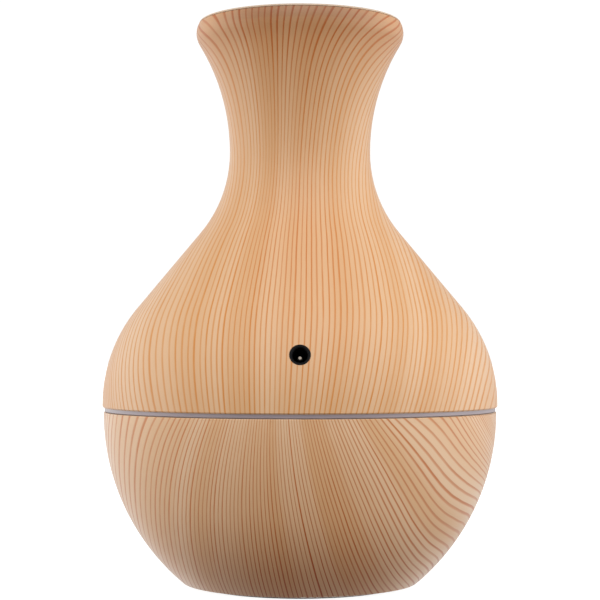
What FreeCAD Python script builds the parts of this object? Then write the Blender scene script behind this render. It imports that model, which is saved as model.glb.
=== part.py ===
import FreeCAD, Part
import Sketcher
import math
import os
from FreeCAD import Placement, Rotation, Vector

# A small cool mist humidifier in the shape of a vase. Its lower bowl holds the water. Its head
# lifts off the bowl and carries the electronics, the mesh mist disc, and the tube with the wick.
# Units are millimetres, +Z is up, and the origin is the centre of the foot, where it stands.
# The power socket is on the -Y side and the button on the +Y side.

DIMENSIONS = {
    # outside form: every stretch of the profile is an arc, given by its centre and radius
    "height": 143.6,
    "rim": 44.0,
    "belt": 45.1,
    "bowl_arc": 56.3,
    "bowl_axis": -6.4,
    "foot_level": 0.8,
    "foot_round": 0.8,
    "shoulder_arc": 38.1,
    "shoulder_axis": 12.1,
    "shoulder_level": 46.0,
    "neck_level": 110.2,
    "neck_radius": 18.0,
    "neck_arc": 32.4,
    "flare_arc": 53.4,
    "lip_round": 5.0,
    "lip_level": 140.7,
    "lip_edge": 0.3,
    "crease_level": 143.0,
    "wall": 2.0,
    # foot pad and the inner cup of the bowl
    "pad_radius": 26.0,
    "pad_thickness": 1.6,
    "cup_gap": 1.0,
    "cup_wall": 1.6,
    "cup_floor": 6.0,
    "cup_neck_level": 33.0,
    "cup_screw_circle": 18.0,
    # quick-turn joint between head and bowl: helical lugs under helical ribs
    "head_lead": 24.0,
    "collar_radius": 41.9,
    "collar_wall": 2.0,
    "collar_depth": 8.9,
    "lug_radius": 43.6,
    "lug_height": 2.5,
    "lug_span": 30.0,
    "rib_radius": 42.3,
    "rib_height": 2.0,
    "rib_span": 45.0,
    "thread_gap": 0.3,
    # floor of the head, and the tower that carries the mist disc
    "base_level": 44.9,
    "base_thickness": 2.1,
    "base_radius": 45.3,
    "tower_bore": 8.4,
    "tower_wall": 2.0,
    "deck_level": 79.2,
    "deck_thickness": 2.8,
    "boss_circle": 33.0,
    "post_circle": 26.0,
    "board_level": 52.0,
    "board_thickness": 1.2,
    # light ring in the belt
    "light_radius": 49.65,
    "light_bore": 45.6,
    "light_height": 7.4,
    # mouth
    "throat_gap": 0.3,
    "throat_wall": 1.5,
    "mouth_bore": 20.6,
    "mouth_skirt": 22.2,
    "mouth_level": 136.2,
    "seat_step": 0.6,
    "fit_gap": 0.1,
    # mist disc
    "disc_radius": 8.0,
    "disc_level": 83.3,
    "gasket_radius": 10.0,
    "cap_screw_circle": 12.1,
    # wick and its tube
    "tube_radius": 6.0,
    "tube_wall": 1.5,
    "tube_foot": 13.0,
    "tube_top": 78.0,
    "tube_lead": 12.0,
    "wick_radius": 4.0,
    "wick_foot": 22.0,
    "spring_wire": 0.35,
    # power socket and button, both square to the shoulder
    "port_tilt": 19.3,
    "port_depth": 11.0,
    "port_boss_reach": 8.0,
    "socket_radius": 2.45,
    "socket_bore": 1.8,
    "contact_radius": 0.65,
    "button_radius": 4.5,
    "button_gap": 0.3,
    "screw_radius": 0.8,
    "lead_radius": 0.8,
}

FULL_TURN = 360.0
SAFE_CUT = 1.0

doc = FreeCAD.newDocument("Humidifier")
sheet = doc.addObject("Spreadsheet::Sheet", "Dimensions")
for row, (alias, number) in enumerate(DIMENSIONS.items(), start=1):
    sheet.set(f"A{row}", alias)
    sheet.set(f"B{row}", str(number))
    sheet.setAlias(f"B{row}", alias)
doc.recompute()


# ---------------------------------------------------------------- sizes tied to the sheet
class Size:
    """A length together with the sheet expression that gives it."""

    def __init__(self, value, text):
        self.value = value
        self.text = text

    def _join(self, other, sign, result):
        return Size(result, f"({self.text} {sign} {as_size(other).text})")

    def __add__(self, other):
        return self._join(other, "+", self.value + as_size(other).value)

    def __sub__(self, other):
        return self._join(other, "-", self.value - as_size(other).value)

    def __mul__(self, other):
        return self._join(other, "*", self.value * as_size(other).value)

    def __truediv__(self, other):
        return self._join(other, "/", self.value / as_size(other).value)

    def __radd__(self, other):
        return as_size(other) + self

    def __rsub__(self, other):
        return as_size(other) - self

    def __rmul__(self, other):
        return as_size(other) * self

    def __neg__(self):
        return as_size(0) - self


def as_size(number):
    if isinstance(number, Size):
        return number
    return Size(float(number), f"({float(number):.9f})")


def root(size):
    return Size(math.sqrt(size.value), f"sqrt({size.text})")


def cosine(degrees):
    return Size(math.cos(math.radians(degrees.value)), f"cos({degrees.text} * 1 deg)")


def sine(degrees):
    return Size(math.sin(math.radians(degrees.value)), f"sin({degrees.text} * 1 deg)")


class Driving:
    """The sheet's cells as attributes."""

    def __init__(self):
        for alias, number in DIMENSIONS.items():
            setattr(self, alias, Size(float(number), f"Dimensions.{alias}"))


d = Driving()


def bind(target, path, size):
    """Ties a property of target to the sheet."""
    target.setExpression(path, as_size(size).text)


# ---------------------------------------------------------------- local frames
class Frame:
    """A place on the YZ plane, and a turn about X that tips +Z to the frame's own normal."""

    def __init__(self, y=0.0, z=0.0, turn=0.0, yaw=0.0):
        self.y = as_size(y)
        self.z = as_size(z)
        self.turn = as_size(turn)
        self.yaw = yaw

    def along(self, distance):
        """The same frame moved along its normal."""
        distance = as_size(distance)
        if self.turn.value == 0.0:
            return Frame(self.y, self.z + distance, self.turn, self.yaw)
        y = self.y - distance * sine(self.turn)
        return Frame(y, self.z + distance * cosine(self.turn), self.turn, self.yaw)

    def apply(self, target, prop):
        place = Placement(Vector(0, self.y.value, self.z.value), Rotation(self.yaw, 0, self.turn.value))
        setattr(target, prop, place)
        bind(target, f"{prop}.Base.y", self.y)
        bind(target, f"{prop}.Base.z", self.z)


UPRIGHT = Frame()
port_y = d.shoulder_axis + d.shoulder_arc * cosine(d.port_tilt)
port_z = d.shoulder_level + d.shoulder_arc * sine(d.port_tilt)
SOCKET = Frame(-port_y, port_z, 90.0 - d.port_tilt)
BUTTON = Frame(port_y, port_z, d.port_tilt - 90.0)


# ---------------------------------------------------------------- bodies, sketches and features
nodes = []


def new_body(label, frame=UPRIGHT, several=False):
    body = doc.addObject("PartDesign::Body", label)
    body.Label = label
    body.AllowCompound = several
    frame.apply(body, "Placement")
    nodes.append(body)
    return body


def origin_of(body, role):
    return [item for item in body.Origin.OriginFeatures if item.Role == role][0]


def level_sketch(body, name, frame):
    """A sketch square to the frame's normal."""
    sketch = body.newObject("Sketcher::SketchObject", name)
    sketch.AttachmentSupport = [(origin_of(body, "XY_Plane"), "")]
    sketch.MapMode = "FlatFace"
    frame.apply(sketch, "AttachmentOffset")
    return sketch


def radial_sketch(body, name, offset=0.0, start=0.0):
    """A sketch whose x is a radius and y a height, in the half plane at the start angle."""
    sketch = body.newObject("Sketcher::SketchObject", name)
    sketch.AttachmentSupport = [(origin_of(body, "XZ_Plane"), "")]
    sketch.MapMode = "FlatFace"
    spin = Rotation(Vector(0, 1, 0), start)
    sketch.AttachmentOffset = Placement(Vector(as_size(offset).value, 0, 0), spin)
    bind(sketch, "AttachmentOffset.Base.x", offset)
    return sketch


def arc_between(first, last, radius, leftward):
    """The short arc from first to last whose centre is on the left, or on the right."""
    chord = last - first
    rise = math.sqrt(max(radius ** 2 - (chord.Length / 2) ** 2, 0.0))
    side = Vector(-chord.y, chord.x, 0).normalize()
    centre = (first + last) * 0.5 + side * (rise if leftward else -rise)
    begin, end = (first, last) if leftward else (last, first)
    circle = Part.Circle(centre, Vector(0, 0, 1), radius)
    angles = [math.atan2(point.y - centre.y, point.x - centre.x) for point in (begin, end)]
    return Part.ArcOfCircle(circle, angles[0], angles[1])


def outline(sketch, points, arcs=None):
    """Closes a profile through points. arcs gives an edge's radius, negative for a centre right."""
    arcs = arcs or {}
    points = [(as_size(x), as_size(y)) for x, y in points]
    corners = [Vector(x.value, y.value, 0) for x, y in points]
    count = len(points)
    edges = []
    for index in range(count):
        first, last = corners[index], corners[(index + 1) % count]
        if index not in arcs:
            edges.append((sketch.addGeometry(Part.LineSegment(first, last)), 1, 2))
            continue
        radius = as_size(arcs[index])
        leftward = radius.value > 0
        arc = arc_between(first, last, abs(radius.value), leftward)
        edge = sketch.addGeometry(arc)
        edges.append((edge, 1, 2) if leftward else (edge, 2, 1))
        limit = sketch.addConstraint(Sketcher.Constraint("Radius", edge, abs(radius.value)))
        bind(sketch, f"Constraints[{limit}]", radius if leftward else -radius)
    for index in range(count):
        edge, _, tail = edges[index]
        following, head, _ = edges[(index + 1) % count]
        sketch.addConstraint(Sketcher.Constraint("Coincident", edge, tail, following, head))
    for index in range(count):
        edge, head, _ = edges[index]
        for kind, size in zip(("DistanceX", "DistanceY"), points[index]):
            limit = sketch.addConstraint(Sketcher.Constraint(kind, edge, head, size.value))
            bind(sketch, f"Constraints[{limit}]", size)


def circles(sketch, places):
    for x, y, radius in places:
        x, y, radius = as_size(x), as_size(y), as_size(radius)
        circle = Part.Circle(Vector(x.value, y.value, 0), Vector(0, 0, 1), radius.value)
        edge = sketch.addGeometry(circle)
        limits = (("DistanceX", (edge, 3), x), ("DistanceY", (edge, 3), y), ("Radius", (edge,), radius))
        for kind, where, size in limits:
            limit = sketch.addConstraint(Sketcher.Constraint(kind, *where, size.value))
            bind(sketch, f"Constraints[{limit}]", size)


def turned(body, name, points, arcs=None, cut=False, offset=None):
    """Turns a profile about the body's axis, or about a parallel axis offset along X."""
    sketch = radial_sketch(body, f"{name}_profile", offset or 0.0)
    outline(sketch, points, arcs)
    feature = body.newObject("PartDesign::Groove" if cut else "PartDesign::Revolution", name)
    feature.Profile = sketch
    feature.ReferenceAxis = (sketch, ["V_Axis"]) if offset else (origin_of(body, "Z_Axis"), [""])
    feature.Angle = FULL_TURN
    return feature


def extruded(body, name, low, high, draw, shapes, cut=False, frame=UPRIGHT):
    """Pads, or pockets, what draw puts in a sketch, between two heights of the frame."""
    low, high = as_size(low), as_size(high)
    sketch = level_sketch(body, f"{name}_profile", frame.along(high if cut else low))
    draw(sketch, shapes)
    feature = body.newObject("PartDesign::Pocket" if cut else "PartDesign::Pad", name)
    feature.Profile = sketch
    feature.Length = high.value - low.value
    bind(feature, "Length", high - low)
    return feature


def repeated(body, features, count, name="around"):
    pattern = body.newObject("PartDesign::PolarPattern", name)
    pattern.Originals = features
    pattern.Axis = (origin_of(body, "Z_Axis"), [""])
    pattern.Angle = FULL_TURN
    pattern.Occurrences = count
    body.Tip = pattern
    return pattern


def helical(body, name, points, lead, span, start):
    """Winds a profile up a right-hand helix from the start angle, over span degrees."""
    sketch = radial_sketch(body, f"{name}_profile", start=start)
    outline(sketch, points)
    feature = body.newObject("PartDesign::AdditiveHelix", name)
    feature.Profile = sketch
    feature.ReferenceAxis = (origin_of(body, "Z_Axis"), [""])
    feature.Mode = "pitch-turns-angle"
    feature.Pitch = lead.value
    feature.Turns = as_size(span).value / FULL_TURN
    bind(feature, "Pitch", lead)
    bind(feature, "Turns", as_size(span) / FULL_TURN)
    return feature


def ring_profile(inner, outer, low, high):
    return [(inner, low), (outer, low), (outer, high), (inner, high)]


def around(radius, angles):
    """Points on a circle, as sizes."""
    radius = as_size(radius)
    return [(radius * math.cos(math.radians(a)), radius * math.sin(math.radians(a))) for a in angles]


def discs(circle, angles, radius):
    return [(x, y, radius) for x, y in around(circle, angles)]


def polygons(sketch, shapes):
    for shape in shapes:
        outline(sketch, shape)


def block(circle, angle, along, across):
    """A rectangle at a radius and angle, along the radius by across it."""
    (x, y), = around(circle, [angle])
    c, s = math.cos(math.radians(angle)), math.sin(math.radians(angle))
    corners = ((-1, -1), (1, -1), (1, 1), (-1, 1))
    half, side = along / 2, across / 2
    return [(x + i * half * c - j * side * s, y + i * half * s + j * side * c) for i, j in corners]


def panel(width, depth, x=0.0, y=0.0):
    return [(x - width / 2, y - depth / 2), (x + width / 2, y - depth / 2),
            (x + width / 2, y + depth / 2), (x - width / 2, y + depth / 2)]


def screw_set(label, frame, circle, count, head, head_height, length, shank=None):
    """Screws on a circle: heads above the frame's plane, shanks below it, with a cross recess."""
    body = new_body(label, frame, several=True)
    shank = d.screw_radius if shank is None else shank
    point = 0.8
    profile = [(0, -length), (shank * 0.5, -length), (shank, -length + point), (shank, 0), (head, 0),
               (head, head_height * 0.6), (head * 0.75, head_height), (0, head_height)]
    screw = turned(body, "screw", profile, offset=circle)
    near, far = 0.18 * head, 0.62 * head
    corners = ((far, near), (near, near), (near, far))
    cross = []
    for quarter in range(4):
        c, s = (1, 0, -1, 0)[quarter], (0, 1, 0, -1)[quarter]
        cross += [(circle + x * c - y * s, x * s + y * c) for x, y in corners]
    recess = extruded(body, "recess", head_height * 0.45, head_height, polygons, [cross], cut=True)
    repeated(body, [screw, recess], count)
    return body


# ---------------------------------------------------------------- outlines shared by several parts
def on_arc(axis, level, radius, height, inside=False):
    """The radius, at a height, of an arc centred at (axis, level)."""
    reach = root(radius * radius - (height - level) * (height - level))
    return axis - reach if inside else axis + reach


def bowl_at(inset, height):
    return on_arc(d.bowl_axis, d.rim, d.bowl_arc - inset, as_size(height))


def flare_at(inset, height):
    return on_arc(d.neck_radius + d.flare_arc, d.neck_level, d.flare_arc + inset, as_size(height), True)


def waist(inset):
    """From belt to neck, moved inwards: belt, end of shoulder, start of neck arc, and neck."""
    shoulder, hollow = d.shoulder_arc - inset, d.neck_arc + inset
    belt = on_arc(d.shoulder_axis, d.shoulder_level, shoulder, d.belt)
    across = d.neck_radius + d.neck_arc - d.shoulder_axis
    up = d.neck_level - d.shoulder_level
    both = d.shoulder_arc + d.neck_arc
    span = across * across + up * up
    rest = root(span - both * both)
    out = (both * across + rest * up) / span
    lift = (both * up - rest * across) / span
    shoulder_end = (d.shoulder_axis + shoulder * out, d.shoulder_level + shoulder * lift)
    neck_axis = d.neck_radius + d.neck_arc
    neck_start = (neck_axis - hollow * out, d.neck_level - hollow * lift)
    return [(belt, d.belt), shoulder_end, neck_start, (d.neck_radius - inset, d.neck_level)]


flare_axis = d.neck_radius + d.flare_arc
lip_axis = on_arc(flare_axis, d.neck_level, d.flare_arc + d.lip_round, d.lip_level, True)
seam = (on_arc(lip_axis, d.lip_level, d.lip_round, d.crease_level), d.crease_level)
seam_seat = (seam[0] - d.seat_step, seam[1] - d.seat_step)
mouth_hole = d.mouth_skirt + d.fit_gap
SCREW_ANGLES = (0, 120, 240)
POST_ANGLES = (60, 180, 300)
CAP_ANGLES = (30, 150, 270)
PORT_ANGLES = (0, 180)
# the plugs of the leads on the main board
SOCKET_CIRCLE = 25.0
SOCKET_HEIGHT = 3.6
SOCKET_DEPTH = 4.4
LEAD_ANGLES = (20, 90, 120, 270)
LED_BOARD = 0.8
# screw holes, the plastic under a sunk screw head, and how far one feature reaches into another
CLEAR_HOLE = 1.2
SEAT_DEPTH = 1.2
CHASSIS_SHANK = 1.1
OVERLAP = 0.5
lug_top = d.base_level - d.collar_depth + d.lug_height
# the wick tube's lugs, low end and span in degrees
tube_lug_low = d.tube_top - 6.0
TUBE_LUG_SPAN = 40.0


# ---------------------------------------------------------------- bowl
def tank_shell():
    body = new_body("tank_shell")
    corner = d.foot_round
    corner_level = d.foot_level + corner
    corner_axis = on_arc(d.bowl_axis, d.rim, d.bowl_arc - corner, corner_level)
    grow = d.bowl_arc / (d.bowl_arc - corner)
    corner_end = (d.bowl_axis + (corner_axis - d.bowl_axis) * grow, d.rim - (d.rim - corner_level) * grow)
    edge = 0.25
    outside = [(0, d.foot_level), (corner_axis, d.foot_level), corner_end,
               (bowl_at(0.0, d.rim - edge), d.rim - edge), (bowl_at(edge, d.rim), d.rim), (0, d.rim)]
    turned(body, "form", outside, {1: corner, 2: d.bowl_arc, 3: edge})
    floor = d.foot_level + d.wall
    above = d.rim + SAFE_CUT
    hollow = [(0, floor), (bowl_at(d.wall, floor), floor), (bowl_at(d.wall, d.rim), d.rim),
              (bowl_at(d.wall, d.rim), above), (0, above)]
    turned(body, "hollow", hollow, {1: d.bowl_arc - d.wall}, cut=True)
    boss_radius = 3.4
    well_radius = 2.2
    boss_top = d.cup_floor - d.pad_thickness
    bosses = discs(d.cup_screw_circle, SCREW_ANGLES, boss_radius)
    extruded(body, "bosses", floor - OVERLAP, boss_top, circles, bosses)
    recess = [(0, 0, d.pad_radius + d.fit_gap)]
    extruded(body, "pad_recess", d.foot_level - SAFE_CUT, d.pad_thickness, circles, recess, cut=True)
    wells = discs(d.cup_screw_circle, SCREW_ANGLES, well_radius)
    well_low, well_high = d.pad_thickness - SAFE_CUT, boss_top - SEAT_DEPTH
    extruded(body, "head_wells", well_low, well_high, circles, wells, cut=True)
    holes = discs(d.cup_screw_circle, SCREW_ANGLES, CLEAR_HOLE)
    extruded(body, "screw_holes", d.pad_thickness, boss_top + SAFE_CUT, circles, holes, cut=True)


def tank_liner():
    body = new_body("tank_liner")
    outer, inner = d.wall + d.cup_gap, d.wall + d.cup_gap + d.cup_wall
    neck_out, neck_in = bowl_at(outer, d.cup_neck_level), bowl_at(inner, d.cup_neck_level)
    floor = d.cup_floor + d.cup_wall
    top = d.rim - 0.4
    flange = bowl_at(d.wall, d.rim) - 0.3
    flange_low = top - 1.4
    profile = [(0, d.cup_floor), (bowl_at(outer, d.cup_floor), d.cup_floor), (neck_out, d.cup_neck_level),
               (neck_out, flange_low), (flange, flange_low), (flange, top), (neck_in, top),
               (neck_in, d.cup_neck_level), (bowl_at(inner, floor), floor), (0, floor)]
    turned(body, "cup", profile, {1: d.bowl_arc - outer, 7: -(d.bowl_arc - inner)})
    boss_radius = 2.6
    boss_low = d.cup_floor - d.pad_thickness
    bosses = discs(d.cup_screw_circle, SCREW_ANGLES, boss_radius)
    extruded(body, "bosses", boss_low, d.cup_floor + OVERLAP, circles, bosses)
    pilots = discs(d.cup_screw_circle, SCREW_ANGLES, d.screw_radius)
    extruded(body, "pilots", boss_low - SAFE_CUT, d.cup_floor + d.cup_wall * 0.6, circles, pilots, cut=True)
    lead_in = 8.0
    rib_low = lug_top + d.thread_gap - lead_in * d.head_lead / FULL_TURN
    profile = ring_profile(d.rib_radius, neck_in + OVERLAP, rib_low, rib_low + d.rib_height)
    rib = helical(body, "rib", profile, d.head_lead, d.rib_span, -lead_in)
    stop_low, stop_high = d.base_level - d.collar_depth, lug_top + d.rib_height * 0.6
    stop_angle = -3.5
    stop_width = 1.8
    middle = (d.rib_radius + neck_in + OVERLAP) / 2
    reach = neck_in + OVERLAP - d.rib_radius
    block_shape = block(middle, stop_angle, reach.value, stop_width)
    stop = extruded(body, "stop", stop_low, stop_high, polygons, [block_shape])
    repeated(body, [rib, stop], 3)


def base_pad():
    body = new_body("base_pad")
    bevel = 0.4
    profile = [(0, 0), (d.pad_radius - bevel, 0), (d.pad_radius, bevel), (d.pad_radius, d.pad_thickness),
               (0, d.pad_thickness)]
    turned(body, "pad", profile)


def liner_screws():
    frame = Frame(z=d.cup_floor - d.pad_thickness - SEAT_DEPTH, turn=180.0)
    screw_set("liner_screws", frame, d.cup_screw_circle, 3, head=1.9, head_height=1.2, length=3.6)


def tank_seal():
    body = new_body("tank_seal")
    low = d.rim - 0.35
    high = d.base_level - 0.05
    groove_depth, half_groove = 0.3, 0.2
    inner, outer = d.collar_radius + 0.3, d.base_radius
    middle = (low + high) / 2
    profile = [(inner, low), (outer, low), (outer, middle - half_groove), (outer - groove_depth, middle),
               (outer, middle + half_groove), (outer, high), (inner, high)]
    turned(body, "ring", profile)


# ---------------------------------------------------------------- head: casing
def upper_shell():
    body = new_body("upper_shell")
    belt, shoulder_end, neck_start, neck = waist(0.0)
    edge = 0.3
    grow = d.flare_arc / (d.flare_arc + d.lip_round)
    lip_start_level = d.neck_level + (d.lip_level - d.neck_level) * grow
    lip_start = (flare_axis - (flare_axis - lip_axis) * grow, lip_start_level)
    outside = [(0, d.belt), (belt[0] - edge, d.belt),
               (on_arc(d.shoulder_axis, d.shoulder_level, d.shoulder_arc, d.belt + edge), d.belt + edge),
               shoulder_end, neck_start, neck, lip_start, seam, seam_seat,
               (mouth_hole, seam_seat[1]), (0, seam_seat[1])]
    turned(body, "form", outside,
           {2: d.shoulder_arc, 4: -d.neck_arc, 5: -d.flare_arc, 6: d.lip_round})
    belt, shoulder_end, neck_start, neck = waist(d.wall)
    reach = d.flare_arc + d.wall
    across = flare_axis - mouth_hole
    mouth_floor = d.neck_level + root(reach * reach - across * across)
    below, above = d.belt - SAFE_CUT, seam_seat[1] + SAFE_CUT
    inside = [(0, below), (belt[0], below), belt, shoulder_end, neck_start, neck,
              (mouth_hole, mouth_floor), (mouth_hole, above), (0, above)]
    turned(body, "hollow", inside,
           {2: d.shoulder_arc - d.wall, 4: -(d.neck_arc + d.wall), 5: -reach}, cut=True)
    base_top = d.base_level + d.base_thickness
    boss_radius, boss_top, pilot_depth = 2.4, d.shoulder_level + 29.2, 9.0
    bosses = discs(d.boss_circle, SCREW_ANGLES, boss_radius)
    extruded(body, "screw_bosses", base_top, boss_top, circles, bosses)
    pilots = discs(d.boss_circle, SCREW_ANGLES, CHASSIS_SHANK)
    extruded(body, "screw_pilots", base_top - SAFE_CUT, base_top + pilot_depth, circles, pilots, cut=True)
    port_boss, boss_root, hole_depth, pilot_end = 1.8, 1.5, 5.0, 6.0
    for name, frame, hole in (("socket", SOCKET, d.socket_radius + 0.05),
                              ("button", BUTTON, d.button_radius + d.button_gap)):
        bosses = discs(d.port_boss_reach, PORT_ANGLES, port_boss)
        extruded(body, f"{name}_bosses", -d.port_depth, -boss_root, circles, bosses, frame=frame)
        extruded(body, f"{name}_hole", -hole_depth, SAFE_CUT, circles, [(0, 0, hole)], True, frame)
        pilots = discs(d.port_boss_reach, PORT_ANGLES, d.screw_radius)
        low = -d.port_depth - SAFE_CUT
        extruded(body, f"{name}_pilots", low, -pilot_end, circles, pilots, True, frame)


def mouth_ring():
    body = new_body("mouth_ring")
    crease = 0.15
    foot = d.crease_level + crease
    shoulder = d.height - d.lip_edge
    edge = d.mouth_skirt - d.mouth_bore
    rim = on_arc(lip_axis, d.lip_level, d.lip_round, shoulder)
    profile = [(on_arc(lip_axis, d.lip_level, d.lip_round, foot), foot), (seam_seat[0], foot),
               (seam_seat[0], seam_seat[1]), (d.mouth_skirt, seam_seat[1]),
               (d.mouth_skirt, d.mouth_level), (d.mouth_bore, d.mouth_level),
               (d.mouth_bore, d.height - edge), (d.mouth_skirt, d.height),
               (rim - d.lip_edge, d.height), (rim, shoulder)]
    turned(body, "ring", profile, {6: -edge, 8: -d.lip_edge, 9: -d.lip_round})


def mist_funnel():
    body = new_body("mist_funnel")
    outer, inner = d.wall + d.throat_gap, d.wall + d.throat_gap + d.throat_wall
    foot = d.deck_level + d.deck_thickness + 1.0
    profile = [(d.neck_radius - outer, foot), (d.neck_radius - outer, d.neck_level),
               (flare_at(outer, d.mouth_level), d.mouth_level),
               (flare_at(inner, d.mouth_level), d.mouth_level),
               (d.neck_radius - inner, d.neck_level), (d.neck_radius - inner, foot)]
    turned(body, "funnel", profile, {1: -(d.flare_arc + outer), 3: d.flare_arc + inner})


def light_ring():
    body = new_body("light_ring")
    low = d.belt - 1.0
    bevel = 0.15
    skirt = d.light_bore + 1.8
    profile = [(d.light_bore, low), (d.light_radius - bevel, low), (d.light_radius, low + bevel),
               (d.light_radius, d.belt), (skirt, d.belt), (skirt, low + d.light_height),
               (d.light_bore, low + d.light_height)]
    turned(body, "ring", profile)


# ---------------------------------------------------------------- head: floor and electronics
def head_base():
    body = new_body("head_base")
    top = d.base_level + d.base_thickness
    foot = d.base_level - d.collar_depth
    tower = d.tower_bore + d.tower_wall
    collar_in = d.collar_radius - d.collar_wall
    profile = [(d.tower_bore, d.base_level), (collar_in, d.base_level), (collar_in, foot),
               (d.collar_radius, foot), (d.collar_radius, d.base_level), (d.base_radius, d.base_level),
               (d.base_radius, top), (tower, top), (tower, d.deck_level), (d.tower_bore, d.deck_level)]
    turned(body, "floor_and_tower", profile)
    post_radius = 2.2
    posts = discs(d.post_circle, POST_ANGLES, post_radius)
    extruded(body, "board_posts", top - OVERLAP, d.board_level, circles, posts)
    pilots = discs(d.post_circle, POST_ANGLES, d.screw_radius)
    extruded(body, "board_pilots", top + OVERLAP, d.board_level + SAFE_CUT, circles, pilots, cut=True)
    holes = discs(d.boss_circle, SCREW_ANGLES, CLEAR_HOLE)
    extruded(body, "screw_holes", d.base_level - SAFE_CUT, top + SAFE_CUT, circles, holes, cut=True)
    profile = ring_profile(collar_in + d.collar_wall / 2, d.lug_radius, foot, foot + d.lug_height)
    lug = helical(body, "lug", profile, d.head_lead, d.lug_span, 0.0)
    repeated(body, [lug], 3, "lugs")
    rib_gap, rib_height, rib_start, rib_span = 0.2, 1.8, -60.0, 90.0
    rib_top = tube_lug_low - rib_gap - TUBE_LUG_SPAN * d.tube_lead / FULL_TURN
    profile = ring_profile(d.tube_radius + OVERLAP, d.tower_bore + 0.4, rib_top - rib_height, rib_top)
    rib = helical(body, "tube_rib", profile, d.tube_lead, rib_span, rib_start)
    repeated(body, [rib], 2, "tube_ribs")


def chassis_screws():
    frame = Frame(z=d.base_level, turn=180.0)
    screw_set("chassis_screws", frame, d.boss_circle, 3, head=2.1, head_height=1.4, length=10.5,
              shank=CHASSIS_SHANK)


def main_board():
    body = new_body("main_board")
    top = d.board_level + d.board_thickness
    bore, edge = 13.0, 30.2
    turned(body, "board", ring_profile(bore, edge, d.board_level, top))
    holes = discs(d.post_circle, POST_ANGLES, d.screw_radius)
    extruded(body, "screw_holes", d.board_level - SAFE_CUT, top + SAFE_CUT, circles, holes, cut=True)


def board_screws():
    frame = Frame(z=d.board_level + d.board_thickness, yaw=POST_ANGLES[0])
    screw_set("board_screws", frame, d.post_circle, 3, head=1.6, head_height=1.0, length=5.0)


def board_parts():
    """Parts soldered to the main board: circle, angles, size and height of each kind."""
    top = d.board_level + d.board_thickness
    chip_circle, chip_angle, chip_height = 21.0, 215, 1.6
    body = new_body("controller_chip")
    package = block(chip_circle, chip_angle, 5.0, 6.2)
    extruded(body, "package", top, top + chip_height, polygons, [package])
    can_circle = 22.0
    inductor_angle, inductor_radius, inductor_height = 330, 3.4, 4.5
    body = new_body("boost_inductor")
    can = discs(can_circle, (inductor_angle,), inductor_radius)
    extruded(body, "coil_can", top, top + inductor_height, circles, can)
    capacitor_angles, capacitor_radius, capacitor_height = (45, 240), 2.5, 6.0
    body = new_body("filter_capacitors", several=True)
    cans = discs(can_circle, capacitor_angles, capacitor_radius)
    extruded(body, "cans", top, top + capacitor_height, circles, cans)
    socket_width = 5.4
    body = new_body("lead_sockets", several=True)
    housings = [block(SOCKET_CIRCLE, angle, SOCKET_DEPTH, socket_width) for angle in LEAD_ANGLES]
    extruded(body, "housings", top, top + SOCKET_HEIGHT, polygons, housings)


def led_ring():
    """The ring board on the floor of the head, and six lamps that face the light ring."""
    low = d.base_level + d.base_thickness
    top = low + LED_BOARD
    bore, edge_gap = 38.0, 0.8
    body = new_body("led_board")
    turned(body, "board", ring_profile(bore, d.light_bore - edge_gap, low, top))
    lamp_circle, lamp_depth, lamp_width, lamp_height = 43.2, 1.4, 3.2, 1.6
    body = new_body("ring_leds", several=True)
    leds = [block(lamp_circle, angle, lamp_depth, lamp_width) for angle in range(30, 390, 60)]
    extruded(body, "packages", top, top + lamp_height, polygons, leds)


def port_board(label, frame):
    """The small board behind the socket or the button, screwed to two bosses of the shell."""
    body = new_body(label, frame.along(-d.port_depth))
    margin, depth = 4.4, 8.4
    board = panel(d.port_boss_reach * 2 + margin, depth)
    extruded(body, "board", -d.board_thickness, 0, polygons, [board])
    holes = discs(d.port_boss_reach, PORT_ANGLES, d.screw_radius)
    extruded(body, "screw_holes", -d.board_thickness - SAFE_CUT, SAFE_CUT, circles, holes, cut=True)


def port_screws(label, frame):
    behind = frame.along(-d.port_depth - d.board_thickness)
    frame = Frame(behind.y, behind.z, behind.turn + 180.0)
    screw_set(label, frame, d.port_boss_reach, 2, head=1.5, head_height=1.0, length=5.6)


def power_socket():
    body = new_body("power_jack", SOCKET)
    case = 6.2
    floor = -d.port_depth + 1.5
    front = -2.7
    face = -0.1
    flare = 0.25
    root_radius, root_depth = 0.45, 1.0
    extruded(body, "case", -d.port_depth, front, polygons, [panel(case, case)])
    extruded(body, "nose", front, face, circles, [(0, 0, d.socket_radius)])
    extruded(body, "bore", floor, SAFE_CUT, circles, [(0, 0, d.socket_bore)], cut=True)
    lead_in = [(0, face + SAFE_CUT), (d.socket_bore + flare + SAFE_CUT, face + SAFE_CUT),
               (d.socket_bore, face - flare), (0, face - flare)]
    turned(body, "lead_in", lead_in, cut=True)
    root = [(0, 0, root_radius)]
    extruded(body, "pin_hole", floor - root_depth, floor + SAFE_CUT, circles, root, cut=True)
    body = new_body("jack_pin", SOCKET)
    tip, taper, blunt = -2.3, 0.4, 0.3
    radius = d.contact_radius
    profile = [(0, floor - root_depth), (root_radius, floor - root_depth), (root_radius, floor),
               (radius, floor), (radius, tip - taper), (radius - blunt, tip), (0, tip)]
    turned(body, "pin", profile)


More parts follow.
